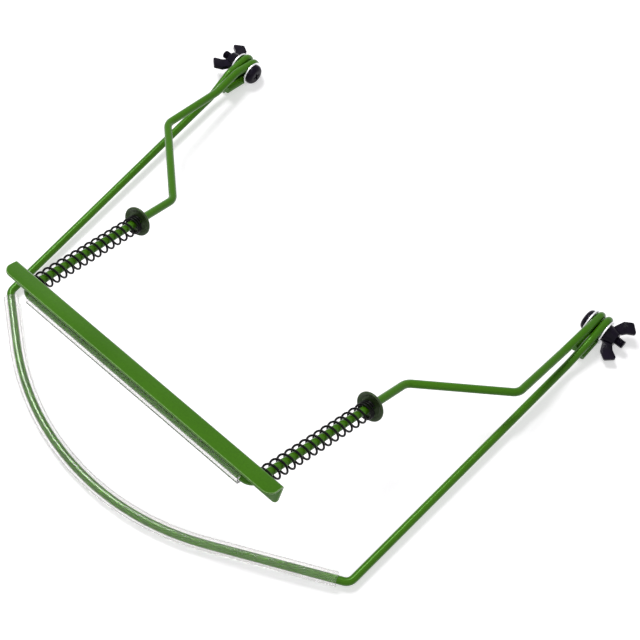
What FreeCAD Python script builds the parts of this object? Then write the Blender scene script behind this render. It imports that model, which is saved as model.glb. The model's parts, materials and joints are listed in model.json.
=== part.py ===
import FreeCAD, Part
import math
import os
import Sketcher

# Harmonica holder that hangs round the neck, in millimetres, lying on a table as in its rest state.
# A bent wire yoke goes round the neck. A second bent wire swings on its two pivots and ends in a
# crossbar. A sheet metal bar slides on the arms of that second wire, pushed towards the crossbar by
# two springs, and the instrument is clamped between the crossbar and the bar.
# X runs across the holder, the neck curve lies towards -Y, and +Z is up.

# Each size has a name, a value and what it measures. Angles are in degrees.
SIZES = (
    ("wire_diameter", "4.6", "painted steel wire of the yoke and of the clamp"),
    ("pivot_half_width", "138.5", "centre of the yoke wire at a pivot, from the middle plane"),
    ("neck_half_width", "128.95", "centre of the yoke wire at its neck bend"),
    ("arm_length", "204.25", "from the pivot axis to the neck bends"),
    ("neck_depth", "76.3", "from the neck bends to where the flanks of the neck curve would meet"),
    ("neck_apex_offset", "-26.3", "where the flanks would meet, to the right of the middle plane"),
    ("neck_curve_radius", "156.25", "centre line of the middle of the neck curve"),
    ("neck_bend_radius", "5.5", "centre line of the bend between an arm and a flank"),
    ("eye_tail", "19.0", "from the bolt to the cut end of a hairpin eye"),
    ("eye_flat", "12.0", "from the bolt to where the long leg of an eye starts to close"),
    ("eye_length", "30.0", "from the bolt to where the arm starts"),
    ("eye_slack", "1.5", "how much further the end of an eye is from its bolt than its legs are"),
    ("eye_jog", "1.2", "how far an eye stands outside the start of its arm"),
    ("eye_bend_radius", "12.0", "centre line of the slight bends behind an eye"),
    ("eye_clearance", "0.2", "between the bolt and the inside of an eye"),
    ("eye_gap", "0.4", "between the two eyes on one bolt"),
    ("swing_gap", "0.3", "between the clamp eye and the washer beside it"),
    ("seat_gap", "0.05", "between the yoke eye and the washer beside it"),
    ("clamp_rise_angle", "16.16", "first stretch of the clamp above the plane of the yoke"),
    ("arm_rise_angle", "25.04", "spring arms of the clamp above the plane of the yoke"),
    ("outer_bend_reach", "73.4", "from the pivot axis to the outer bend of the clamp"),
    ("outer_bend_half_width", "131.55", "outer bend of the clamp, from the middle plane"),
    ("inner_bend_reach", "115.2", "from the pivot axis to the inner bend of the clamp"),
    ("arm_half_width", "86.1", "spring arm of the clamp at its inner bend, from the middle plane"),
    ("clamp_bend_radius", "8.0", "centre line of the outer and inner bends of the clamp"),
    ("crossbar_reach", "119.2", "from the inner bends to the crossbar, square to it"),
    ("crossbar_half_width", "78.5", "corner of an arm and the crossbar, from the middle plane"),
    ("crossbar_bend_radius", "5.5", "centre line of the bend between an arm and the crossbar"),
    ("tube_diameter", "8.4", "outside of both soft tubes"),
    ("tube_bore", "5.2", "inside of both soft tubes"),
    ("left_tube_setback", "4.2", "from the left neck bend to the end of the neck tube, along the flank"),
    ("right_tube_setback", "6.8", "from the right neck bend to the end of the neck tube, along the flank"),
    ("crossbar_tube_setback", "5.6", "from the end corner of the crossbar to the end of its tube"),
    ("bar_overhang", "13.5", "from the end corner of the crossbar to the end of the pressure bar"),
    ("bar_sheet", "1.2", "sheet thickness of the pressure bar"),
    ("bar_flange_depth", "11.2", "top flange, from the back of the web"),
    ("bar_web_height", "14.0", "web, from the top of the flange"),
    ("bar_slot_depth", "7.2", "arm slots below the top of the flange"),
    ("bar_slot_clearance", "0.25", "between an arm and its slot in the bar"),
    ("bar_bend_radius", "1.0", "inside of the fold of the bar"),
    ("bar_flange_corner", "5.5", "corner radius of the flange"),
    ("bar_web_corner", "3.0", "corner radius of the web"),
    ("bar_rest_gap", "1.55", "between the web and the crossbar tube when the clamp is shut"),
    ("bar_travel", "40.0", "how far the bar opens"),
    ("left_disc_reach", "29.3", "from the left inner bend to the back of its stop disc"),
    ("right_disc_reach", "28.3", "from the right inner bend to the back of its stop disc"),
    ("disc_diameter", "17.0", "stop disc"),
    ("disc_sheet", "1.6", "sheet thickness of the stop disc"),
    ("disc_seat_diameter", "11.6", "flat middle of the stop disc"),
    ("disc_dish", "1.1", "how far the rim of the stop disc stands towards the spring"),
    ("disc_edge_radius", "0.6", "rounding of the rim of the stop disc"),
    ("disc_clearance", "0.05", "between the stop disc and the arm that carries it"),
    ("spring_diameter", "10.4", "outside of a spring"),
    ("spring_wire", "1.2", "wire of a spring"),
    ("spring_close_gap", "0.45", "between two neighbouring closed turns"),
    ("spring_end_gap", "0.3", "between a spring and each of its seats"),
    ("spring_disc_turns", "2", "closed turns at the stop disc"),
    ("spring_open_turns", "14", "open turns"),
    ("spring_bar_turns", "1", "closed turns at the pressure bar"),
    ("spring_start_angle", "60.0", "where the wire of a spring starts, about its axis"),
    ("spring_sag", "1.2", "axis of a spring, which hangs on its arm, below the axis of the arm"),
    ("bolt_diameter", "5.0", "shank of a pivot bolt"),
    ("bolt_length", "23.5", "pivot bolt, under its head"),
    ("bolt_tip_chamfer", "0.6", "chamfer of the tip of a pivot bolt"),
    ("bolt_head_diameter", "12.6", "head of a pivot bolt"),
    ("bolt_head_height", "3.2", "head of a pivot bolt"),
    ("bolt_head_dome", "2.8", "rounding of the head of a pivot bolt"),
    ("recess_span", "5.0", "cross recess, tip to tip"),
    ("recess_width", "1.1", "cross recess, one slot"),
    ("recess_depth", "1.6", "cross recess"),
    ("washer_diameter", "15.0", "washers on the pivot bolts"),
    ("washer_bore", "5.4", "hole of a washer"),
    ("washer_sheet", "1.0", "thickness of a washer"),
    ("washer_edge_radius", "0.3", "rounding of the rim of a washer"),
    ("nut_gap", "0.1", "between a wing nut and its washer"),
    ("nut_base_diameter", "11.0", "foot of a wing nut"),
    ("nut_top_diameter", "8.5", "top of the hub of a wing nut"),
    ("nut_hub_height", "6.5", "hub of a wing nut"),
    ("nut_edge_radius", "0.5", "rounding of the hub of a wing nut"),
    ("nut_bore_clearance", "0.1", "between a wing nut and its bolt"),
    ("wing_span", "27.5", "wing nut, tip to tip"),
    ("wing_height", "13.5", "wing nut, from its foot to its tips"),
    ("wing_thickness", "2.5", "one wing"),
    ("wing_corner_radius", "1.2", "corners of a wing tip"),
    ("right_wing_turn_angle", "11.0", "turn of the right wing nut about its bolt"),
    ("left_wing_turn_angle", "-14.0", "turn of the left wing nut about its bolt"),
)

# Corners of one wing, across as shares of half the span and along the bolt as shares of its height:
# from the root along the outer edge, then the two corners of the tip, then back along the inner edge.
WING_OUTER_EDGE_SHARES = ((0.30, 0.06), (0.44, 0.09), (0.80, 0.26))
WING_TIP_SHARES = ((1.00, 0.60), (0.66, 1.00))
WING_INNER_EDGE_SHARES = ((0.46, 0.64), (0.30, 0.50))
WING_OUTLINE_SHARES = WING_OUTER_EDGE_SHARES + WING_TIP_SHARES + WING_INNER_EDGE_SHARES

# Two ends closer than this share of the wire are one point.
SAME_POINT_SHARE = 0.001

SIDES = (("left", -1), ("right", 1))

X_AXIS = FreeCAD.Vector(1, 0, 0)
Z_AXIS = FreeCAD.Vector(0, 0, 1)
ORIGIN = FreeCAD.Vector(0, 0, 0)

doc = FreeCAD.newDocument("HarmonicaHolder")
sheet = doc.addObject("Spreadsheet::Sheet", "Sizes")


def fill_sheet():
    """Writes every size into the sheet, with its name and its meaning beside it."""
    for row, (alias, value, meaning) in enumerate(SIZES, start=1):
        sheet.set(f"A{row}", alias)
        sheet.set(f"B{row}", value)
        sheet.set(f"C{row}", meaning)
        sheet.setAlias(f"B{row}", alias)
    doc.recompute()


def size(alias):
    return float(getattr(sheet, alias))


def formula_value(formula):
    return float(sheet.evalExpression(formula.replace("Sizes.", "")))


# Frames of the holder at rest

def rest_slope():
    """Tilt of the yoke, with the neck tube and either its eyes or its washers on the table."""
    tube_radius = size("tube_diameter") / 2
    eye_drop = eye_radius() + size("wire_diameter") / 2 - tube_radius
    washer_drop = size("washer_diameter") / 2 - tube_radius
    return math.asin(max(eye_drop / (neck_reach() - size("eye_tail")), washer_drop / neck_reach()))


def rest_frame():
    """Middle of the pivot axis and tilt of the yoke, as the holder lies on the table."""
    slope = rest_slope()
    tube_radius = size("tube_diameter") / 2
    height = tube_radius + neck_reach() * math.sin(slope)
    front = neck_reach() * math.cos(slope) + tube_radius
    back = size("wing_span") / 2 * math.cos(math.radians(size("right_wing_turn_angle")))
    turn = FreeCAD.Rotation(X_AXIS, math.degrees(slope))
    return FreeCAD.Placement(FreeCAD.Vector(0, (front - back) / 2, height), turn)


def clamp_frame():
    """The first stretch of the clamp, which starts at the pivot axis."""
    turn = FreeCAD.Rotation(X_AXIS, -size("clamp_rise_angle"))
    return rest_frame().multiply(FreeCAD.Placement(ORIGIN, turn))


def arm_frame():
    """Plane of the spring arms, from the middle of the two inner bends."""
    start = FreeCAD.Vector(0, -size("inner_bend_reach"), 0)
    turn = FreeCAD.Rotation(X_AXIS, size("clamp_rise_angle") - size("arm_rise_angle"))
    return clamp_frame().multiply(FreeCAD.Placement(start, turn))


def arm_lean():
    """Angle at which each spring arm leans towards the middle plane."""
    return math.atan2(size("arm_half_width") - size("crossbar_half_width"), size("crossbar_reach"))


def on_arm(side, distance):
    """A place on one arm, with +Z along the arm towards the crossbar."""
    across = size("arm_half_width") - distance * math.tan(arm_lean())
    lean = FreeCAD.Rotation(Z_AXIS, -side * math.degrees(arm_lean()))
    turn = lean.multiply(FreeCAD.Rotation(X_AXIS, 90))
    return arm_frame().multiply(FreeCAD.Placement(FreeCAD.Vector(side * across, -distance, 0), turn))


def on_bolt(side, distance, turn_angle=0):
    """A place on one bolt axis, with +Z outwards and a turn about X."""
    outwards = FreeCAD.Rotation(Z_AXIS, X_AXIS * side)
    turn = FreeCAD.Rotation(X_AXIS, turn_angle).multiply(outwards)
    place = FreeCAD.Vector(side * distance, 0, 0)
    return rest_frame().multiply(FreeCAD.Placement(place, turn))


# Places along a bolt, from the middle plane outwards

def clamp_eye_place():
    return size("pivot_half_width") - size("wire_diameter") - size("eye_gap")


def head_washer_place():
    return clamp_eye_place() - size("wire_diameter") / 2 - size("swing_gap") - size("washer_sheet")


def nut_washer_place():
    return size("pivot_half_width") + size("wire_diameter") / 2 + size("seat_gap")


def wing_nut_place():
    return nut_washer_place() + size("washer_sheet") + size("nut_gap")


# Places from the inner bends towards the crossbar, square to it

def disc_place(name):
    return size(f"{name}_disc_reach")


def bar_back_place():
    tube_edge = size("crossbar_reach") - size("tube_diameter") / 2
    return tube_edge - size("bar_rest_gap") - size("bar_sheet")


def spring_room(name):
    """From the seat of a spring on its disc to where its rim meets the bar, along the arm."""
    run = (bar_back_place() - disc_place(name)) / math.cos(arm_lean())
    return run - size("disc_sheet") - size("spring_diameter") / 2 * math.tan(arm_lean())


# Bent wire

def bent_edges(points, radii):
    """Straight runs through the points, with a tangent arc of the given radius at each inner point."""
    same_point = size("wire_diameter") * SAME_POINT_SHARE
    edges = []
    start = points[0]
    for before, corner, after, radius in zip(points, points[1:], points[2:], radii):
        back = (before - corner).normalize()
        ahead = (after - corner).normalize()
        half_turn = (math.pi - back.getAngle(ahead)) / 2
        arc_start = corner + back * (radius * math.tan(half_turn))
        arc_end = corner + ahead * (radius * math.tan(half_turn))
        bisector = (back + ahead).normalize()
        arc_middle = corner + bisector * (radius / math.cos(half_turn) - radius)
        if start.distanceToPoint(arc_start) > same_point:
            edges.append(Part.LineSegment(start, arc_start).toShape())
        edges.append(Part.Arc(arc_start, arc_middle, arc_end).toShape())
        start = arc_end
    edges.append(Part.LineSegment(start, points[-1]).toShape())
    return edges


def mirrored_point(point):
    return FreeCAD.Vector(-point.x, point.y, point.z)


def eye_radius():
    return size("bolt_diameter") / 2 + size("eye_clearance") + size("wire_diameter") / 2


def eye_points(half_width):
    """Hairpin round the bolt, from its cut end below the arm to where the arm starts."""
    radius = eye_radius()
    end = radius + size("eye_slack")
    return [
        FreeCAD.Vector(half_width, -size("eye_tail"), -radius),
        FreeCAD.Vector(half_width, end, -radius),
        FreeCAD.Vector(half_width, end, radius),
        FreeCAD.Vector(half_width, -size("eye_flat"), radius),
        FreeCAD.Vector(half_width - size("eye_jog"), -size("eye_length"), 0),
    ]


def eye_radii():
    return [eye_radius(), eye_radius(), size("eye_bend_radius"), size("eye_bend_radius")]


def neck_corner():
    return FreeCAD.Vector(size("neck_half_width"), -size("arm_length"), 0)


def neck_apex():
    """Where the two flanks of the neck curve would meet, a little to one side."""
    return FreeCAD.Vector(size("neck_apex_offset"), -size("arm_length") - size("neck_depth"), 0)


def neck_reach():
    """From the pivot axis to the far side of the neck curve, centre of the wire."""
    right_flank = (neck_corner() - neck_apex()).normalize()
    left_flank = (mirrored_point(neck_corner()) - neck_apex()).normalize()
    half_angle = right_flank.getAngle(left_flank) / 2
    inwards = (right_flank + left_flank).normalize()
    centre = neck_apex() + inwards * (size("neck_curve_radius") / math.sin(half_angle))
    return size("neck_curve_radius") - centre.y


def yoke_edges():
    """Right eye, arm and flank, the neck curve, then the left flank, arm and eye."""
    half = eye_points(size("pivot_half_width")) + [neck_corner()]
    half_radii = eye_radii() + [size("neck_bend_radius")]
    other_half = [mirrored_point(point) for point in reversed(half)]
    radii = half_radii + [size("neck_curve_radius")] + half_radii[::-1]
    return bent_edges(half + [neck_apex()] + other_half, radii)


def clamp_edges():
    """Right eye, outer bend, inner bend, spring arm and crossbar, then the same mirrored."""
    rise = math.radians(size("arm_rise_angle") - size("clamp_rise_angle"))
    outer_bend = FreeCAD.Vector(size("outer_bend_half_width"), -size("outer_bend_reach"), 0)
    inner_bend = FreeCAD.Vector(size("arm_half_width"), -size("inner_bend_reach"), 0)
    reach = size("crossbar_reach")
    corner = inner_bend + FreeCAD.Vector(0, -math.cos(rise), math.sin(rise)) * reach
    corner.x = size("crossbar_half_width")
    half = eye_points(clamp_eye_place()) + [outer_bend, inner_bend, corner]
    half_radii = eye_radii() + [size("clamp_bend_radius")] * 2 + [size("crossbar_bend_radius")]
    other_half = [mirrored_point(point) for point in reversed(half)]
    return bent_edges(half + other_half, half_radii + half_radii[::-1])


def bent_rod(label, edges, diameter):
    """Round rod along a path of edges."""
    path = doc.addObject("Part::Feature", label + "_path")
    path.Shape = Part.Wire(edges)
    section = doc.addObject("Part::Circle", label + "_section")
    section.setExpression("Radius", f"{diameter} / 2")
    start_edge = edges[0]
    start = start_edge.FirstParameter
    facing = FreeCAD.Rotation(Z_AXIS, start_edge.tangentAt(start))
    section.Placement = FreeCAD.Placement(start_edge.valueAt(start), facing)
    rod = doc.addObject("Part::Sweep", label)
    rod.Sections = [section]
    rod.Spine = (path, [f"Edge{number}" for number in range(1, len(edges) + 1)])
    rod.Solid = True
    rod.Frenet = False
    doc.recompute()
    length = sum(edge.Length for edge in edges)
    expected = math.pi * formula_value(diameter) ** 2 / 4 * length
    print(f"{label}: length {length:.1f}, volume {rod.Shape.Volume:.1f}, expected {expected:.1f}")
    return rod


def make_wire(label, edges, frame):
    """Painted wire of the yoke or of the clamp."""
    wire = bent_rod(label, edges, "Sizes.wire_diameter")
    wire.Label = label
    wire.Placement = frame
    return wire


# Sketches and features bound to the sheet

def new_body(label):
    body = doc.addObject("PartDesign::Body", label)
    body.Label = label
    return body


def new_sketch(body, name, role):
    """Sketch on one of the body's own origin planes."""
    sketch = body.newObject("Sketcher::SketchObject", f"{body.Label}_{name}")
    plane = next(part for part in body.Origin.OriginFeatures if part.Role == role)
    sketch.AttachmentSupport = [(plane, "")]
    sketch.MapMode = "FlatFace"
    return sketch


def pin_point(sketch, geometry, point, across, up):
    """Ties a point to the sketch origin by two formulas."""
    for kind, axis, formula in (("DistanceX", -2, across), ("DistanceY", -1, up)):
        if formula == "0":
            sketch.addConstraint(Sketcher.Constraint("PointOnObject", geometry, point, axis))
            continue
        start = formula_value(formula)
        index = sketch.addConstraint(Sketcher.Constraint(kind, -1, 1, geometry, point, start))
        sketch.setExpression(f"Constraints[{index}]", formula)


def add_polygon(sketch, corners):
    """Closed straight-sided outline. Each corner is a pair of formulas."""
    places = [FreeCAD.Vector(formula_value(x), formula_value(y), 0) for x, y in corners]
    first = sketch.GeometryCount
    count = len(places)
    for index, place in enumerate(places):
        sketch.addGeometry(Part.LineSegment(place, places[(index + 1) % count]), False)
    for index in range(count):
        following = first + (index + 1) % count
        sketch.addConstraint(Sketcher.Constraint("Coincident", first + index, 2, following, 1))
    for index, (x, y) in enumerate(corners):
        pin_point(sketch, first + index, 1, x, y)


def add_circle(sketch, across, up, diameter):
    """Circle whose centre and diameter are formulas."""
    centre = FreeCAD.Vector(formula_value(across), formula_value(up), 0)
    radius = formula_value(diameter) / 2
    geometry = sketch.addGeometry(Part.Circle(centre, Z_AXIS, radius), False)
    pin_point(sketch, geometry, 3, across, up)
    index = sketch.addConstraint(Sketcher.Constraint("Diameter", geometry, radius * 2))
    sketch.setExpression(f"Constraints[{index}]", diameter)


def add_slot(sketch, centres, width):
    """Round-ended slot between two centres on the first axis. All are formulas."""
    radius = formula_value(width) / 2
    left, right = sorted(centres, key=formula_value)
    low = FreeCAD.Vector(formula_value(left), 0, 0)
    high = FreeCAD.Vector(formula_value(right), 0, 0)
    up = FreeCAD.Vector(0, radius, 0)
    quarter = math.pi / 2
    low_end = Part.ArcOfCircle(Part.Circle(low, Z_AXIS, radius), quarter, 3 * quarter)
    high_end = Part.ArcOfCircle(Part.Circle(high, Z_AXIS, radius), -quarter, quarter)
    low_arc = sketch.addGeometry(low_end, False)
    high_arc = sketch.addGeometry(high_end, False)
    upper = sketch.addGeometry(Part.LineSegment(low + up, high + up), False)
    lower = sketch.addGeometry(Part.LineSegment(low - up, high - up), False)
    meetings = (
        (low_arc, 1, upper, 1),
        (low_arc, 2, lower, 1),
        (high_arc, 1, lower, 2),
        (high_arc, 2, upper, 2),
    )
    for meeting in meetings:
        sketch.addConstraint(Sketcher.Constraint("Tangent", *meeting))
    sketch.addConstraint(Sketcher.Constraint("Equal", low_arc, high_arc))
    for arc, place in ((low_arc, left), (high_arc, right)):
        pin_point(sketch, arc, 3, place, "0")
    index = sketch.addConstraint(Sketcher.Constraint("Radius", low_arc, radius))
    sketch.setExpression(f"Constraints[{index}]", f"({width}) / 2")


def revolve(body, sketch, name):
    feature = body.newObject("PartDesign::Revolution", f"{body.Label}_{name}")
    feature.Profile = sketch
    feature.ReferenceAxis = (sketch, ["V_Axis"])
    feature.Angle = 360
    doc.recompute()
    return feature


def pad(body, sketch, name, length):
    """Pad to both sides of its sketch."""
    feature = body.newObject("PartDesign::Pad", f"{body.Label}_{name}")
    feature.Profile = sketch
    feature.Midplane = True
    feature.setExpression("Length", length)
    doc.recompute()
    return feature


def cut(body, sketch, name, length=None):
    """Pocket to both sides of its sketch, through everything where no length is given."""
    before = body.Shape.Volume
    feature = body.newObject("PartDesign::Pocket", f"{body.Label}_{name}")
    feature.Profile = sketch
    feature.Midplane = True
    if length is None:
        feature.Type = "ThroughAll"
    else:
        feature.setExpression("Length", length)
    doc.recompute()
    if not body.Shape.Volume < before:
        raise RuntimeError(f"{feature.Label} removes nothing")
    return feature


def round_edges(body, feature, name, radius, chosen):
    """Fillet of the edges that a test chooses."""
    names = [f"Edge{n}" for n, edge in enumerate(feature.Shape.Edges, start=1) if chosen(edge)]
    if not names:
        raise RuntimeError(f"{body.Label}_{name} finds no edge")
    fillet = body.newObject("PartDesign::Fillet", f"{body.Label}_{name}")
    fillet.Base = (feature, names)
    fillet.setExpression("Radius", radius)
    doc.recompute()
    return fillet


def near(value, target):
    """True for two lengths that are the same size."""
    return abs(value - target) < size("wire_diameter") * SAME_POINT_SHARE


def circle_at(edge, radius, height):
    """True for a circle about Z of this radius at this height."""
    if not isinstance(edge.Curve, Part.Circle):
        return False
    return near(edge.Curve.Radius, radius) and near(edge.Curve.Center.z, height)


def straight_along(edge, axis):
    """True for a straight edge parallel to the axis."""
    if not isinstance(edge.Curve, Part.Line):
        return False
    start, end = (vertex.Point for vertex in edge.Vertexes)
    return near((end - start).cross(axis).Length, 0)


# Soft tubes

def make_neck_tube():
    """Soft tube on the flanks and the middle of the neck curve."""
    ends = []
    for side, corner in (("right", neck_corner()), ("left", mirrored_point(neck_corner()))):
        flank = (neck_apex() - corner).normalize()
        ends.append(corner + flank * size(side + "_tube_setback"))
    edges = bent_edges([ends[0], neck_apex(), ends[1]], [size("neck_curve_radius")])
    tube = doc.addObject("Part::Cut", "neck_tube")
    tube.Base = bent_rod("neck_tube_outside", edges, "Sizes.tube_diameter")
    tube.Tool = bent_rod("neck_tube_bore", edges, "Sizes.tube_bore")
    doc.recompute()
    tube.Label = "neck_tube"
    tube.Placement = rest_frame()
    return tube


def make_crossbar_tube():
    """Soft tube on the crossbar."""
    body = new_body("crossbar_tube")
    sketch = new_sketch(body, "ring", "YZ_Plane")
    add_circle(sketch, "0", "0", "Sizes.tube_diameter")
    add_circle(sketch, "0", "0", "Sizes.tube_bore")
    pad(body, sketch, "length", "2 * (Sizes.crossbar_half_width - Sizes.crossbar_tube_setback)")
    place = FreeCAD.Placement(FreeCAD.Vector(0, -size("crossbar_reach"), 0), FreeCAD.Rotation())
    body.Placement = arm_frame().multiply(place)
    return body


# Pressure bar

def make_pressure_bar():
    """Folded sheet with a top flange over the crossbar and a web that slides on the arms."""
    body = new_body("pressure_bar")
    sketch = new_sketch(body, "section", "YZ_Plane")
    top = "Sizes.bar_slot_depth"
    under = "Sizes.bar_slot_depth - Sizes.bar_sheet"
    foot = "Sizes.bar_slot_depth - Sizes.bar_web_height"
    add_polygon(sketch, [
        ("0", top),
        ("-Sizes.bar_flange_depth", top),
        ("-Sizes.bar_flange_depth", under),
        ("-Sizes.bar_sheet", under),
        ("-Sizes.bar_sheet", foot),
        ("0", foot),
    ])
    feature = pad(body, sketch, "length", "2 * (Sizes.crossbar_half_width + Sizes.bar_overhang)")
    sheet_size = size("bar_sheet")
    flange_top = size("bar_slot_depth")

    def outer_fold(edge):
        point = edge.Vertexes[0].Point
        return straight_along(edge, X_AXIS) and near(point.y, 0) and near(point.z, flange_top)

    def inner_fold(edge):
        point = edge.Vertexes[0].Point
        inner = near(point.y, -sheet_size) and near(point.z, flange_top - sheet_size)
        return straight_along(edge, X_AXIS) and inner

    def flange_corner(edge):
        return straight_along(edge, Z_AXIS) and near(edge.Vertexes[0].Point.y, -size("bar_flange_depth"))

    def web_corner(edge):
        foot_level = flange_top - size("bar_web_height")
        across = straight_along(edge, FreeCAD.Vector(0, 1, 0))
        return across and near(edge.Vertexes[0].Point.z, foot_level)

    outside = "Sizes.bar_bend_radius + Sizes.bar_sheet"
    feature = round_edges(body, feature, "inner_fold", "Sizes.bar_bend_radius", inner_fold)
    feature = round_edges(body, feature, "outer_fold", outside, outer_fold)
    feature = round_edges(body, feature, "flange_corners", "Sizes.bar_flange_corner", flange_corner)
    feature = round_edges(body, feature, "web_corners", "Sizes.bar_web_corner", web_corner)
    slots = new_sketch(body, "slot_outline", "XZ_Plane")
    lean = "(Sizes.arm_half_width - Sizes.crossbar_half_width) / Sizes.crossbar_reach"
    ahead = "(Sizes.tube_diameter / 2 + Sizes.bar_rest_gap + Sizes.bar_sheet / 2)"
    shut = f"(Sizes.crossbar_half_width + {lean} * {ahead})"
    opened = f"(Sizes.crossbar_half_width + {lean} * ({ahead} + Sizes.bar_travel))"
    width = "Sizes.wire_diameter + 2 * Sizes.bar_slot_clearance"
    for sign in ("-", ""):
        add_slot(slots, (sign + shut, sign + opened), width)
    cut(body, slots, "slots")
    place = FreeCAD.Placement(FreeCAD.Vector(0, -bar_back_place(), 0), FreeCAD.Rotation())
    body.Placement = arm_frame().multiply(place)
    return body


# Stop discs and springs

def make_stop_disc(name, side):
    """Dished disc fixed on one arm, open towards the spring."""
    body = new_body(f"{name}_stop_disc")
    sketch = new_sketch(body, "profile", "XZ_Plane")
    bore = "Sizes.wire_diameter / 2 + Sizes.disc_clearance"
    seat = "Sizes.disc_seat_diameter / 2"
    rim = "Sizes.disc_diameter / 2"
    add_polygon(sketch, [
        (bore, "0"),
        (seat, "0"),
        (rim, "Sizes.disc_dish"),
        (rim, "Sizes.disc_dish + Sizes.disc_sheet"),
        (seat, "Sizes.disc_sheet"),
        (bore, "Sizes.disc_sheet"),
    ])
    feature = revolve(body, sketch, "turn")
    rim_radius = size("disc_diameter") / 2
    round_edges(body, feature, "rim", "Sizes.disc_edge_radius",
                lambda edge: isinstance(edge.Curve, Part.Circle) and near(edge.Curve.Radius, rim_radius))
    body.Placement = on_arm(side, disc_place(name))
    return body


def spring_nodes(length):
    """Point and direction of the wire of a spring at each half turn, with the disc at the bottom."""
    radius = (size("spring_diameter") - size("spring_wire")) / 2
    room = length - 2 * size("spring_end_gap") - size("spring_wire")
    close_pitch = size("spring_wire") + size("spring_close_gap")
    disc_turns = int(size("spring_disc_turns"))
    bar_turns = int(size("spring_bar_turns"))
    open_turns = int(size("spring_open_turns"))
    open_pitch = (room - (disc_turns + bar_turns) * close_pitch) / open_turns
    print(f"spring: pitch of the open turns {open_pitch:.2f}")
    steps = [close_pitch / 2] * (2 * disc_turns)
    steps += [open_pitch / 2] * (2 * open_turns)
    steps += [close_pitch / 2] * (2 * bar_turns)
    nodes = []
    height = size("spring_end_gap") + size("spring_wire") / 2
    for index in range(len(steps) + 1):
        climb = min(steps[max(index - 1, 0):index + 1]) / math.pi
        angle = math.radians(size("spring_start_angle")) + index * math.pi
        point = FreeCAD.Vector(radius * math.cos(angle), radius * math.sin(angle), height)
        heading = FreeCAD.Vector(-radius * math.sin(angle), radius * math.cos(angle), climb)
        nodes.append((point, heading.normalize()))
        if index < len(steps):
            height += steps[index]
    return nodes


def corner_arc(start, corner, end):
    """Arc from start to end whose tangents meet at the corner."""
    chord_middle = (start + end) / 2
    run = start.distanceToPoint(corner)
    turn = math.pi - (start - corner).getAngle(end - corner)
    inwards = (chord_middle - corner).normalize()
    return Part.Arc(start, corner + inwards * (run * math.tan(turn / 4)), end).toShape()


def biarc(start, start_heading, end, end_heading):
    """Two tangent arcs between two points with given headings."""
    gap = end - start
    headings = start_heading + end_heading
    spread = 2 * (1 - start_heading.dot(end_heading))
    run = (math.sqrt(gap.dot(headings) ** 2 + spread * gap.dot(gap)) - gap.dot(headings)) / spread
    first_corner = start + start_heading * run
    second_corner = end - end_heading * run
    joint = (first_corner + second_corner) / 2
    return [corner_arc(start, first_corner, joint), corner_arc(joint, second_corner, end)]


def spring_edges(length):
    """Straight wire end, half turns as biarcs, straight wire end."""
    nodes = spring_nodes(length)
    lead = size("spring_wire")
    first_point, first_heading = nodes[0]
    last_point, last_heading = nodes[-1]
    edges = [Part.LineSegment(first_point - first_heading * lead, first_point).toShape()]
    for (start, start_heading), (end, end_heading) in zip(nodes, nodes[1:]):
        edges += biarc(start, start_heading, end, end_heading)
    edges.append(Part.LineSegment(last_point, last_point + last_heading * lead).toShape())
    return edges


def least_gap(edges, diameter):
    """Least gap between turns, on points of the centre line that are over a third of a turn apart."""
    points_per_edge = 12
    apart = 2 * points_per_edge
    points = []
    for edge in edges[1:-1]:
        points += edge.discretize(points_per_edge + 1)[:-1]
    gaps = [
        points[i].distanceToPoint(points[j]) - diameter
        for i in range(len(points))
        for j in range(i + apart, min(i + 4 * apart, len(points)))
    ]
    return min(gaps)


def make_spring(name, side):
    """Compression spring round one arm, one unbroken wire, which hangs on the arm."""
    edges = spring_edges(spring_room(name))
    radius = size("spring_wire") / 2
    first = edges[0]
    start = first.FirstParameter
    section = Part.Wire(Part.Circle(first.valueAt(start), first.tangentAt(start), radius).toShape())
    shell = Part.BRepOffsetAPI.MakePipeShell(Part.Wire(edges))
    shell.add(section)
    shell.build()
    shell.makeSolid()
    spring = doc.addObject("Part::Feature", f"{name}_spring")
    spring.Label = f"{name}_spring"
    spring.Shape = shell.shape()
    seat = FreeCAD.Vector(0, -size("spring_sag"), size("disc_sheet"))
    spring.Placement = on_arm(side, disc_place(name)).multiply(FreeCAD.Placement(seat, FreeCAD.Rotation()))
    length = sum(edge.Length for edge in edges)
    expected = math.pi * radius ** 2 * length
    print(f"{spring.Label}: least gap to itself {least_gap(edges, 2 * radius):.3f}")
    print(f"{spring.Label}: volume {spring.Shape.Volume:.1f}, expected {expected:.1f}")
    return spring


# Pivot hardware

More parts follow.
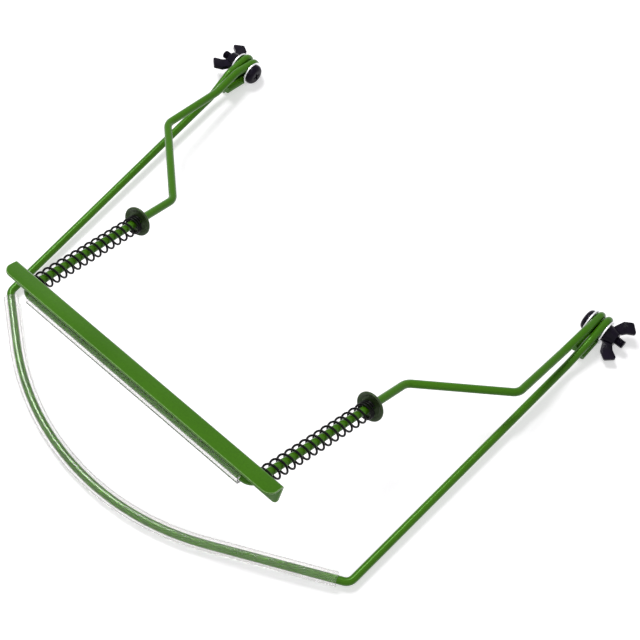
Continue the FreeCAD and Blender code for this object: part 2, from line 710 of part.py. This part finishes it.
def make_pivot_bolt(name, side):
    """Round head screw with a cross recess. The head is on the inner side."""
    body = new_body(f"{name}_pivot_bolt")
    sketch = new_sketch(body, "profile", "XZ_Plane")
    head = "Sizes.bolt_head_diameter / 2"
    shank = "Sizes.bolt_diameter / 2"
    add_polygon(sketch, [
        ("0", "-Sizes.bolt_head_height"),
        (head, "-Sizes.bolt_head_height"),
        (head, "0"),
        (shank, "0"),
        (shank, "Sizes.bolt_length - Sizes.bolt_tip_chamfer"),
        (f"{shank} - Sizes.bolt_tip_chamfer", "Sizes.bolt_length"),
        ("0", "Sizes.bolt_length"),
    ])
    feature = revolve(body, sketch, "turn")
    head_radius = size("bolt_head_diameter") / 2
    head_top = -size("bolt_head_height")
    round_edges(body, feature, "dome", "Sizes.bolt_head_dome",
                lambda edge: circle_at(edge, head_radius, head_top))
    recess = new_sketch(body, "recess_outline", "XY_Plane")
    recess.setExpression("AttachmentOffset.Base.z", "-Sizes.bolt_head_height")
    arm = "Sizes.recess_span / 2"
    slot = "Sizes.recess_width / 2"
    add_polygon(recess, [
        (arm, f"-{slot}"), (arm, slot), (slot, slot),
        (slot, arm), (f"-{slot}", arm), (f"-{slot}", slot),
        (f"-{arm}", slot), (f"-{arm}", f"-{slot}"), (f"-{slot}", f"-{slot}"),
        (f"-{slot}", f"-{arm}"), (slot, f"-{arm}"), (slot, f"-{slot}"),
    ])
    cut(body, recess, "recess", "2 * Sizes.recess_depth")
    body.Placement = on_bolt(side, head_washer_place())
    return body


def make_washer(label, side, place):
    """Flat washer with a rounded rim."""
    body = new_body(label)
    sketch = new_sketch(body, "profile", "XZ_Plane")
    bore = "Sizes.washer_bore / 2"
    rim = "Sizes.washer_diameter / 2"
    add_polygon(sketch, [
        (bore, "0"),
        (rim, "0"),
        (rim, "Sizes.washer_sheet"),
        (bore, "Sizes.washer_sheet"),
    ])
    feature = revolve(body, sketch, "turn")
    rim_radius = size("washer_diameter") / 2
    round_edges(body, feature, "rim", "Sizes.washer_edge_radius",
                lambda edge: isinstance(edge.Curve, Part.Circle) and near(edge.Curve.Radius, rim_radius))
    body.Placement = on_bolt(side, place)
    return body


def make_wing_nut(name, side):
    """Wing nut: a tapered hub and two flared wings."""
    body = new_body(f"{name}_wing_nut")
    sketch = new_sketch(body, "hub_profile", "XZ_Plane")
    add_polygon(sketch, [
        ("0", "0"),
        ("Sizes.nut_base_diameter / 2", "0"),
        ("Sizes.nut_top_diameter / 2", "Sizes.nut_hub_height"),
        ("0", "Sizes.nut_hub_height"),
    ])
    hub = revolve(body, sketch, "hub")
    base_radius = size("nut_base_diameter") / 2
    top_radius = size("nut_top_diameter") / 2
    round_edges(body, hub, "hub_edges", "Sizes.nut_edge_radius",
                lambda edge: circle_at(edge, base_radius, 0)
                or circle_at(edge, top_radius, size("nut_hub_height")))
    outline = new_sketch(body, "wing_outline", "YZ_Plane")
    for sign in ("-", ""):
        add_polygon(outline, [
            (f"{sign}{across} * Sizes.wing_span / 2", f"{along} * Sizes.wing_height")
            for across, along in WING_OUTLINE_SHARES
        ])
    wings = pad(body, outline, "wings", "Sizes.wing_thickness")
    tip_heights = [size("wing_height") * along for across, along in WING_TIP_SHARES]

    def tip_corner(edge):
        height = edge.Vertexes[0].Point.z
        return straight_along(edge, X_AXIS) and any(near(height, tip) for tip in tip_heights)

    round_edges(body, wings, "tips", "Sizes.wing_corner_radius", tip_corner)
    bore = new_sketch(body, "bore_outline", "XY_Plane")
    add_circle(bore, "0", "0", "Sizes.bolt_diameter + 2 * Sizes.nut_bore_clearance")
    cut(body, bore, "bore")
    body.Placement = on_bolt(side, wing_nut_place(), size(f"{name}_wing_turn_angle"))
    return body


def make_parts():
    parts = [
        make_wire("yoke_wire", yoke_edges(), rest_frame()),
        make_wire("clamp_wire", clamp_edges(), clamp_frame()),
        make_neck_tube(),
        make_crossbar_tube(),
        make_pressure_bar(),
    ]
    for name, side in SIDES:
        parts.append(make_stop_disc(name, side))
        parts.append(make_spring(name, side))
        parts.append(make_pivot_bolt(name, side))
        parts.append(make_washer(f"{name}_head_washer", side, head_washer_place()))
        parts.append(make_washer(f"{name}_nut_washer", side, nut_washer_place()))
        parts.append(make_wing_nut(name, side))
    return parts


def check_document():
    """Stops on any object that failed to rebuild."""
    for item in doc.Objects:
        if {"Invalid", "Error"} & set(item.State):
            raise RuntimeError(f"{item.Label} is {item.State}")


def check_part(part):
    """Stops on a part that is empty, broken or not one solid."""
    shape = part.Shape
    if shape.isNull() or not shape.isValid():
        raise RuntimeError(f"{part.Label} has no valid shape")
    if len(shape.Solids) != 1:
        raise RuntimeError(f"{part.Label} has {len(shape.Solids)} solids")


def main():
    fill_sheet()
    parts = make_parts()
    doc.recompute()
    check_document()
    for part in parts:
        check_part(part)
    os.makedirs("parts", exist_ok=True)
    for part in parts:
        part.Shape.exportStep(f"parts/{part.Label}.step")
    box = FreeCAD.BoundBox()
    for part in parts:
        box.add(part.Shape.BoundBox)
    print(f"{len(parts)} parts, box {box}")


main()
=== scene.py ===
import json
import math

import bmesh
import bpy
from mathutils import Matrix, Vector


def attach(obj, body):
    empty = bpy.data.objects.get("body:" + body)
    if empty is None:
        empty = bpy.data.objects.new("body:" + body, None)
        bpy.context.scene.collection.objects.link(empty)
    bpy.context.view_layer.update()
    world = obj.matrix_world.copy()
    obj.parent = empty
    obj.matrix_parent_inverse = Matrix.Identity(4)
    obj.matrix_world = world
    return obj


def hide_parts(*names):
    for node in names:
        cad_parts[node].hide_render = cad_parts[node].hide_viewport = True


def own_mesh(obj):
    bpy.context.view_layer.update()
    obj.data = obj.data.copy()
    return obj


# Harmonica holder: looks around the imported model, in metres.

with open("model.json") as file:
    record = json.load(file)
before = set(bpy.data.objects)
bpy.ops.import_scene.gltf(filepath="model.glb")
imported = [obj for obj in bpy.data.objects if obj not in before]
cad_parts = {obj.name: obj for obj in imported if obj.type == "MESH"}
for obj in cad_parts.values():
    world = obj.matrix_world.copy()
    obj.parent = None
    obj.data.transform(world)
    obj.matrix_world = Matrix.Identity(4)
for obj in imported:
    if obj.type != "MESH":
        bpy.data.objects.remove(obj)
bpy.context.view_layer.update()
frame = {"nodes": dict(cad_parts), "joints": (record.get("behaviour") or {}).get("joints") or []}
nodes = frame["nodes"]
joints = {joint["name"]: joint for joint in frame["joints"]}

MM = 0.001
WHITE = (1, 1, 1, 1)

# Camera, fitted to the photograph. The focal length is in pixels of the image, the sensor in millimetres.
CAMERA_AZIMUTH = math.radians(41.781)
CAMERA_ELEVATION = math.radians(62.060)
CAMERA_TARGET = Vector((20.67, 16.65, 20.00)) * MM
CAMERA_DISTANCE = 794.63 * MM
CAMERA_REACH = 50
FOCAL_PIXELS = 1434.5
IMAGE_PIXELS = 640
SENSOR_WIDTH = 36

# Square lamps that aim at the origin. Places and widths are in metres, powers in watts.
LAMPS = {
    "key": {"place": (-1.0, 0.35, 2.1), "width": 0.8, "power": 35},
    "fill": {"place": (0.7, -0.9, 1.9), "width": 2.6, "power": 8},
}

# The world lights the object less than it shows. The floor glows where it is seen, and its glow rises with
# the distance from the origin, in metres, from near to far, until the floor is white.
WORLD_LIGHT = 0.20
WORLD_SEEN = 1.0
FLOOR_COLOR = (0.865, 0.85, 0.875, 1)
FLOOR_HALF_WIDTH = 4.0
FLOOR_DROP = 0.2 * MM
GLOW_NEAR, GLOW_FAR = 0.52, 1.0
GLOW_START, GLOW_END = 0.5, 1.8

# Materials: the green paint, and a painted highlight in a paler green along the edges of the bar. A point
# counts as edge where rounding the edges would turn its normal, so that the match of the two normals falls
# below that of a flat.
NOISE_ROUGHNESS = 0.55
GREEN = {
    "light": (0.060, 0.200, 0.006),
    "dark": (0.047, 0.165, 0.004),
    "tint": (0.42, 0.9, 0.25),
    "roughness": 0.22,
}
GREEN_EDGE_HIGHLIGHT = (0.30, 0.50, 0.18)
EDGE_RADIUS = 0.7 * MM
EDGE_SAMPLES = 8
FLAT_MATCH, EDGE_MATCH = 0.99, 0.90

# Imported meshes: the distance at which vertices join, the angles up to which faces are one flat face or
# shade as one surface, and the rounding of sharp edges.
MERGE_DISTANCE = 0.002 * MM
FLAT_ANGLE = math.radians(0.5)
SMOOTH_ANGLE = math.radians(40)
EASE_SEGMENTS = 3
ROUND_PROFILE = 0.5
BAR_EASE, BAR_SHARP_ANGLE = 0.5 * MM, math.radians(60)
NUT_EASE, NUT_SHARP_ANGLE = 0.3 * MM, math.radians(25)

# Spring arms of the clamp, which lean towards each other. For each arm: the middle of the seat of its
# spring on the stop disc, and the room of the spring along the arm, as far as the bar.
ARM_LEAN = math.radians(3.648148)
SPRING_SEATS = {
    "left": Vector((-84.1301, -16.6301, 50.8609)) * MM,
    "right": Vector((84.1938, -15.7186, 50.4496)) * MM,
}
SPRING_ROOMS = {"left": 81.1869 * MM, "right": 82.1889 * MM}
BAR_OPENING = -Vector(joints["bar_slide"]["axis"])
ARM_UP = BAR_OPENING.cross(Vector((1, 0, 0)))

# Springs, with closed turns at the disc and at the bar. Their pitch changes over about a quarter turn.
SPRING_WIRE = 1.2 * MM
SPRING_RADIUS = 4.6 * MM
SPRING_CLOSE_PITCH = 1.65 * MM
SPRING_END_GAP = 0.3 * MM
SPRING_SAG = 1.2 * MM
SPRING_START = math.radians(60)
DISC_TURNS, OPEN_TURNS, BAR_TURNS = 2, 14, 1
STEPS_PER_TURN = 40
PITCH_CHANGE_STEPS = STEPS_PER_TURN // 8
WIRE_SIDES = 12

# Pivot bolts. Of each pitch of the thread, one share is flat root and one is flank, and the rest is crest.
PIVOT = Vector(joints["clamp_swing"]["pos_m"])
BOLT_HEAD_PLANE = 129.9 * MM
BOLT_TIP = 153.4 * MM
SHANK_OVERLAP = 0.1 * MM
TIP_CHAMFER = 0.3 * MM
THREAD_PITCH = 0.8 * MM
THREAD_RADIUS = 2.5 * MM
THREAD_ROOT_RADIUS = 2.05 * MM
THREAD_ROOT_SHARE = 0.12
THREAD_FLANK_SHARE = 0.70
THREAD_SIDES = 48
RINGS_PER_PITCH = 14


# Camera, lamps, world and floor


def make_camera():
    level = math.cos(CAMERA_ELEVATION)
    back = Vector((
        math.sin(CAMERA_AZIMUTH) * level,
        -math.cos(CAMERA_AZIMUTH) * level,
        math.sin(CAMERA_ELEVATION),
    ))
    right = Vector((math.cos(CAMERA_AZIMUTH), math.sin(CAMERA_AZIMUTH), 0))
    up = back.cross(right)
    data = bpy.data.cameras.new("camera")
    data.sensor_width = SENSOR_WIDTH
    data.lens = FOCAL_PIXELS / IMAGE_PIXELS * SENSOR_WIDTH
    data.clip_end = CAMERA_REACH
    camera = bpy.data.objects.new("camera", data)
    bpy.context.scene.collection.objects.link(camera)
    turn = Matrix((right, up, back)).transposed().to_4x4()
    camera.matrix_world = Matrix.Translation(CAMERA_TARGET + back * CAMERA_DISTANCE) @ turn
    bpy.context.scene.camera = camera


def make_lamp(name, place, width, power):
    data = bpy.data.lights.new(name, "AREA")
    data.shape = "SQUARE"
    data.size = width
    data.energy = power
    lamp = bpy.data.objects.new(name, data)
    lamp.location = place
    lamp.rotation_euler = (-Vector(place)).to_track_quat("-Z", "Y").to_euler()
    bpy.context.scene.collection.objects.link(lamp)


def opaque(value):
    """A colour's three values with full alpha. Anything else stays as it is."""
    return (*value, 1) if isinstance(value, tuple) else value


class Shader:
    """Node tree of one material or world, with short calls to add nodes."""

    def __init__(self, owner):
        owner.use_nodes = True
        self.tree = owner.node_tree
        self.tree.nodes.clear()

    def add(self, kind, inputs=None, **settings):
        """New node. Each input, by name or number, gets a link if its value is a socket."""
        node = self.tree.nodes.new(kind)
        for key, value in settings.items():
            setattr(node, key, value)
        for key, value in (inputs or {}).items():
            socket = node.inputs[key]
            if isinstance(value, bpy.types.NodeSocket):
                self.tree.links.new(value, socket)
            else:
                socket.default_value = value
        return node

    def noise(self, scale, detail, stretch=(1, 1, 1)):
        place = self.add("ShaderNodeTexCoord").outputs["Object"]
        mapping = self.add("ShaderNodeMapping", {"Vector": place, "Scale": stretch}).outputs[0]
        inputs = {"Vector": mapping, "Scale": scale, "Detail": detail, "Roughness": NOISE_ROUGHNESS}
        return self.add("ShaderNodeTexNoise", inputs).outputs["Fac"]

    def ramp(self, value, dark, light, start=0.3, stop=0.7):
        """Colour that goes from dark to light while the value goes from start to stop."""
        node = self.add("ShaderNodeValToRGB", {"Fac": value})
        for element, place, color in zip(node.color_ramp.elements, (start, stop), (dark, light)):
            element.position = place
            element.color = opaque(color)
        return node.outputs["Color"]

    def remap(self, value, low, high, start=0.0, stop=1.0):
        """Number that goes from low to high while the value goes from start to stop."""
        inputs = {"Value": value, "From Min": start, "From Max": stop, "To Min": low, "To Max": high}
        return self.add("ShaderNodeMapRange", inputs).outputs["Result"]

    def mix(self, factor, first, second, blend="MIX"):
        """Mixed colour. A mix node has its colours at the inputs 6 and 7 and the output 2."""
        inputs = {0: factor, 6: opaque(first), 7: opaque(second)}
        return self.add("ShaderNodeMix", inputs, data_type="RGBA", blend_type=blend).outputs[2]

    def bump(self, height, strength, distance):
        inputs = {"Height": height, "Strength": strength, "Distance": distance}
        return self.add("ShaderNodeBump", inputs).outputs["Normal"]


def seen_directly(shader):
    """1 for camera, glossy and transmission rays, else 0."""
    path = shader.add("ShaderNodeLightPath")
    seen = path.outputs["Is Camera Ray"]
    for ray in ("Is Glossy Ray", "Is Transmission Ray"):
        seen = shader.add("ShaderNodeMath", {0: seen, 1: path.outputs[ray]}, operation="MAXIMUM").outputs[0]
    return seen


def make_world():
    world = bpy.data.worlds.new("studio")
    bpy.context.scene.world = world
    shader = Shader(world)
    strength = shader.remap(seen_directly(shader), low=WORLD_LIGHT, high=WORLD_SEEN)
    background = shader.add("ShaderNodeBackground", {"Color": WHITE, "Strength": strength})
    shader.add("ShaderNodeOutputWorld", {"Surface": background.outputs[0]})


def pale_floor():
    """Matt floor that keeps the object's shadow and fades to white."""
    material = bpy.data.materials.new("pale_floor")
    shader = Shader(material)
    diffuse = shader.add("ShaderNodeBsdfDiffuse", {"Color": FLOOR_COLOR})
    place = shader.add("ShaderNodeTexCoord").outputs["Object"]
    distance = shader.add("ShaderNodeVectorMath", {0: place}, operation="LENGTH").outputs["Value"]
    rising = shader.remap(distance, low=GLOW_NEAR, high=GLOW_FAR, start=GLOW_START, stop=GLOW_END)
    glow = shader.add("ShaderNodeMath", {0: rising, 1: seen_directly(shader)}, operation="MULTIPLY")
    emission = shader.add("ShaderNodeEmission", {"Color": WHITE, "Strength": glow.outputs[0]})
    both = shader.add("ShaderNodeAddShader", {0: diffuse.outputs[0], 1: emission.outputs[0]})
    shader.add("ShaderNodeOutputMaterial", {"Surface": both.outputs[0]})
    return material


def make_floor():
    half = FLOOR_HALF_WIDTH
    corners = [(-half, -half, 0), (half, -half, 0), (half, half, 0), (-half, half, 0)]
    mesh = bpy.data.meshes.new("floor")
    mesh.from_pydata(corners, [], [(0, 1, 2, 3)])
    mesh.materials.append(pale_floor())
    floor = bpy.data.objects.new("floor", mesh)
    bpy.context.scene.collection.objects.link(floor)
    floor.location.z = -FLOOR_DROP


# Materials


def principled(shader, **inputs):
    """Surface whose inputs are given by short words."""
    sockets = {
        "color": "Base Color", "metallic": "Metallic", "roughness": "Roughness", "normal": "Normal",
        "ior": "IOR", "transmission": "Transmission Weight", "specular": "Specular IOR Level",
        "tint": "Specular Tint",
    }
    values = {sockets[word]: opaque(value) for word, value in inputs.items()}
    surface = shader.add("ShaderNodeBsdfPrincipled", values)
    shader.add("ShaderNodeOutputMaterial", {"Surface": surface.outputs[0]})


def edge_share(shader):
    """1 on the edges of a sheet, 0 on its flat faces."""
    rounded = shader.add("ShaderNodeBevel", {"Radius": EDGE_RADIUS}, samples=EDGE_SAMPLES)
    true_normal = shader.add("ShaderNodeNewGeometry").outputs["True Normal"]
    normals = {0: rounded.outputs["Normal"], 1: true_normal}
    match = shader.add("ShaderNodeVectorMath", normals, operation="DOT_PRODUCT").outputs["Value"]
    return shader.remap(match, low=0.0, high=1.0, start=FLAT_MATCH, stop=EDGE_MATCH)


def green_paint(name, light, dark, tint, roughness, edge=None):
    """Semi-gloss paint with a fine orange peel and slow changes of thickness, and if asked a painted
    highlight along the edges.
    """
    material = bpy.data.materials.new(name)
    shader = Shader(material)
    thickness = shader.noise(scale=22, detail=2.0)
    grain = shader.noise(scale=900, detail=4.0)
    peel = shader.noise(scale=1500, detail=2.0)
    color = shader.ramp(thickness, dark, light)
    speckle = shader.ramp(grain, (0.90, 0.90, 0.90), (1.0, 1.0, 1.0), start=0.35, stop=0.65)
    color = shader.mix(1.0, color, speckle, "MULTIPLY")
    # Painted highlight: the edges take the paler edge colour in place of light caught by their rounding.
    if edge:
        color = shader.mix(edge_share(shader), color, edge)
    principled(
        shader,
        color=color,
        roughness=shader.remap(grain, low=roughness - 0.06, high=roughness + 0.08),
        normal=shader.bump(peel, strength=0.18, distance=0.1 * MM),
        specular=0.42,
        tint=tint,
    )
    return material


def clear_tube():
    """Soft clear plastic, a little milky, with faint lines from its extrusion."""
    material = bpy.data.materials.new("clear_tube")
    shader = Shader(material)
    cloud = shader.noise(scale=90, detail=3.0)
    lines = shader.noise(scale=600, detail=3.0, stretch=(0.15, 1, 1))
    principled(
        shader,
        color=shader.ramp(cloud, (0.87, 0.86, 0.85), (0.94, 0.93, 0.93)),
        roughness=shader.remap(lines, low=0.14, high=0.22),
        normal=shader.bump(lines, strength=0.03, distance=0.1 * MM),
        transmission=0.98,
        ior=1.34,
    )
    return material


def black_metal(name, light, dark, roughness, sheen, grain_scale, bump_strength):
    """Satin black coat on steel, slightly cloudy, with a fine grain."""
    material = bpy.data.materials.new(name)
    shader = Shader(material)
    cloud = shader.noise(scale=220, detail=4.0)
    grain = shader.noise(scale=grain_scale, detail=3.0)
    principled(
        shader,
        color=shader.ramp(cloud, dark, light),
        roughness=shader.remap(grain, low=roughness - 0.07, high=roughness + 0.1),
        normal=shader.bump(grain, strength=bump_strength, distance=0.2 * MM),
        specular=sheen,
    )
    return material


def bright_zinc():
    """Bright plated metal with fine scratches one way."""
    material = bpy.data.materials.new("bright_zinc")
    shader = Shader(material)
    cloud = shader.noise(scale=350, detail=4.0)
    scratches = shader.noise(scale=900, detail=3.0, stretch=(1, 0.12, 1))
    principled(
        shader,
        color=shader.ramp(cloud, (0.72, 0.72, 0.75), (0.86, 0.86, 0.88)),
        metallic=1.0,
        roughness=shader.remap(scratches, low=0.18, high=0.36),
        normal=shader.bump(scratches, strength=0.15, distance=0.1 * MM),
    )
    return material


def assign(obj, material):
    obj.data.materials.clear()
    obj.data.materials.append(material)


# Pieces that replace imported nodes


def replace_node(node, mesh, body, material):
    """Piece with the mesh and its name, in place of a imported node."""
    piece = bpy.data.objects.new(mesh.name, mesh)
    bpy.context.scene.collection.objects.link(piece)
    assign(piece, material)
    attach(piece, body)
    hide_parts(node)
    return piece


def merged_copy(node):
    """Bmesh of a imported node, with its vertices joined and its flat faces whole."""
    work = bmesh.new()
    work.from_mesh(nodes[node].data)
    bmesh.ops.remove_doubles(work, verts=work.verts, dist=MERGE_DISTANCE)
    bmesh.ops.dissolve_limit(work, angle_limit=FLAT_ANGLE, verts=work.verts, edges=work.edges)
    return work


def finished(work, name):
    """Mesh of the bmesh, shaded smooth but for its sharp edges."""
    work.normal_update()
    for face in work.faces:
        face.smooth = True
    for edge in work.edges:
        if len(edge.link_faces) == 2:
            edge.smooth = edge.calc_face_angle(0) < SMOOTH_ANGLE
    mesh = bpy.data.meshes.new(name)
    work.to_mesh(mesh)
    work.free()
    return mesh


def eased(node, width, sharp_angle):
    """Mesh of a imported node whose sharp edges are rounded."""
    work = merged_copy(node)
    edges = [edge for edge in work.edges if edge.is_manifold and edge.calc_face_angle(0) > sharp_angle]
    bmesh.ops.bevel(
        work, geom=edges, offset=width, offset_type="OFFSET", segments=EASE_SEGMENTS,
        profile=ROUND_PROFILE, affect="EDGES", clamp_overlap=True, loop_slide=True,
    )
    return finished(work, node + "_eased")


def add_rings(work, rings):
    """Closed surface through rings of points, all with as many points, added to the bmesh."""
    loops = [[work.verts.new(point) for point in ring] for ring in rings]
    faces = [work.faces.new(loops[0]), work.faces.new(loops[-1])]
    for loop, following in zip(loops, loops[1:]):
        for step in range(len(loop)):
            corners = (loop[step - 1], loop[step], following[step], following[step - 1])
            faces.append(work.faces.new(corners))
    bmesh.ops.recalc_face_normals(work, faces=faces)


def wire_rings(points, normals):
    """Rings of a round wire along the points, each square to the line through them."""
    rings = []
    for index, (point, normal) in enumerate(zip(points, normals)):
        before = points[max(index - 1, 0)]
        after = points[min(index + 1, len(points) - 1)]
        tangent = (after - before).normalized()
        across = tangent.cross(normal).normalized()
        outward = across.cross(tangent)
        ring = []
        for step in range(WIRE_SIDES):
            angle = 2 * math.pi * step / WIRE_SIDES
            ring.append(point + (outward * math.cos(angle) + across * math.sin(angle)) * (SPRING_WIRE / 2))
        rings.append(ring)
    return rings


def spring_heights(length):
    """Distance along the arm at each step of the spring, closed at its two ends."""
    room = length - 2 * SPRING_END_GAP - SPRING_WIRE
    open_pitch = (room - (DISC_TURNS + BAR_TURNS) * SPRING_CLOSE_PITCH) / OPEN_TURNS
    heights = [SPRING_END_GAP + SPRING_WIRE / 2]
    for step in range((DISC_TURNS + OPEN_TURNS + BAR_TURNS) * STEPS_PER_TURN):
        turn = (step + 0.5) / STEPS_PER_TURN
        is_open = DISC_TURNS <= turn < DISC_TURNS + OPEN_TURNS
        heights.append(heights[-1] + (open_pitch if is_open else SPRING_CLOSE_PITCH) / STEPS_PER_TURN)
    window = 2 * PITCH_CHANGE_STEPS + 1
    padded = [heights[0]] * PITCH_CHANGE_STEPS + heights + [heights[-1]] * PITCH_CHANGE_STEPS
    smoothed = [sum(padded[index:index + window]) / window for index in range(len(heights))]
    smoothed[0], smoothed[-1] = heights[0], heights[-1]
    return smoothed


def make_spring(side_name, side, material):
    """Compression spring that hangs on its arm."""
    seat, length = SPRING_SEATS[side_name], SPRING_ROOMS[side_name]
    along = BAR_OPENING * math.cos(ARM_LEAN) - Vector((side, 0, 0)) * math.sin(ARM_LEAN)
    across = ARM_UP.cross(along)
    start = seat - ARM_UP * SPRING_SAG
    points, normals = [], []
    for step, height in enumerate(spring_heights(length)):
        angle = SPRING_START + 2 * math.pi * step / STEPS_PER_TURN
        outward = across * math.cos(angle) + ARM_UP * math.sin(angle)
        points.append(start + along * height + outward * SPRING_RADIUS)
        normals.append(outward)
    node = side_name + "_spring"
    work = bmesh.new()
    add_rings(work, wire_rings(points, normals))
    mesh = finished(work, node + "_coil")
    piece = replace_node(node, mesh, "clamp_frame", material)
    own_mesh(piece)


def thread_rings(side):
    """Rings of a threaded shank along X, from inside the head to its chamfered tip."""
    start = BOLT_HEAD_PLANE - SHANK_OVERLAP
    length = BOLT_TIP - start
    count = int(length / THREAD_PITCH * RINGS_PER_PITCH)
    rings = []
    for row in range(count + 1):
        distance = start + length * row / count
        past_chamfer = max(0.0, distance - (BOLT_TIP - TIP_CHAMFER))
        ring = []
        for step in range(THREAD_SIDES):
            angle = 2 * math.pi * step / THREAD_SIDES
            phase = (distance / THREAD_PITCH - side * step / THREAD_SIDES) % 1.0
            rise = abs(phase * 2 - 1)
            crest = min(1.0, max(0.0, (rise - THREAD_ROOT_SHARE) / THREAD_FLANK_SHARE))
            radius = THREAD_ROOT_RADIUS + (THREAD_RADIUS - THREAD_ROOT_RADIUS) * crest
            radius = min(radius, THREAD_RADIUS - past_chamfer)
            y, z = PIVOT.y + radius * math.cos(angle), PIVOT.z + radius * math.sin(angle)
            ring.append((side * distance, y, z))
        rings.append(ring)
    return rings


def make_bolt(node, side, material):
    """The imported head, with a threaded shank in place of the plain one."""
    work = merged_copy(node)
    shank_start = BOLT_HEAD_PLANE + SHANK_OVERLAP / 2
    shank = [face for face in work.faces if abs(face.calc_center_median().x) > shank_start]
    bmesh.ops.delete(work, geom=shank, context="FACES")
    add_rings(work, thread_rings(side))
    replace_node(node, finished(work, node + "_threaded"), "yoke", material)


make_camera()
make_world()
make_floor()
for lamp_name, lamp in LAMPS.items():
    make_lamp(lamp_name, **lamp)

paint = green_paint("green_paint", **GREEN)
# The bar's green paint, with a painted highlight along its edges.
bar_paint_with_edge_highlight = green_paint("bar_paint_with_edge_highlight", **GREEN, edge=GREEN_EDGE_HIGHLIGHT)
# The stop discs carry the frame's green paint; their darker green here is painted shade.
shaded_disc_paint = green_paint(
    "shaded_disc_paint", light=(0.035, 0.058, 0.018), dark=(0.018, 0.032, 0.010), tint=(0.7, 1.0, 0.6),
    roughness=0.36,
)
plastic = clear_tube()
spring_black = black_metal(
    "spring_black", light=(0.006, 0.006, 0.006), dark=(0.003, 0.003, 0.003), roughness=0.22, sheen=0.10,
    grain_scale=900, bump_strength=0.06,
)
hardware_black = black_metal(
    "hardware_black", light=(0.008, 0.004, 0.015), dark=(0.002, 0.001, 0.005), roughness=0.17, sheen=0.09,
    grain_scale=1100, bump_strength=0.20,
)
zinc = bright_zinc()

for wire in ("yoke_wire", "clamp_wire"):
    assign(nodes[wire], paint)
for tube in ("neck_tube", "crossbar_tube"):
    assign(nodes[tube], plastic)
bar = eased("pressure_bar", BAR_EASE, BAR_SHARP_ANGLE)
replace_node("pressure_bar", bar, "pressure_bar", bar_paint_with_edge_highlight)
for side_name, side in (("left", -1), ("right", 1)):
    assign(nodes[side_name + "_stop_disc"], shaded_disc_paint)
    for washer in ("_head_washer", "_nut_washer"):
        assign(nodes[side_name + washer], zinc)
    make_spring(side_name, side, spring_black)
    make_bolt(side_name + "_pivot_bolt", side, hardware_black)
    nut = side_name + "_wing_nut"
    replace_node(nut, eased(nut, NUT_EASE, NUT_SHARP_ANGLE), nut, hardware_black)

bpy.context.scene.view_settings.view_transform = "Standard"
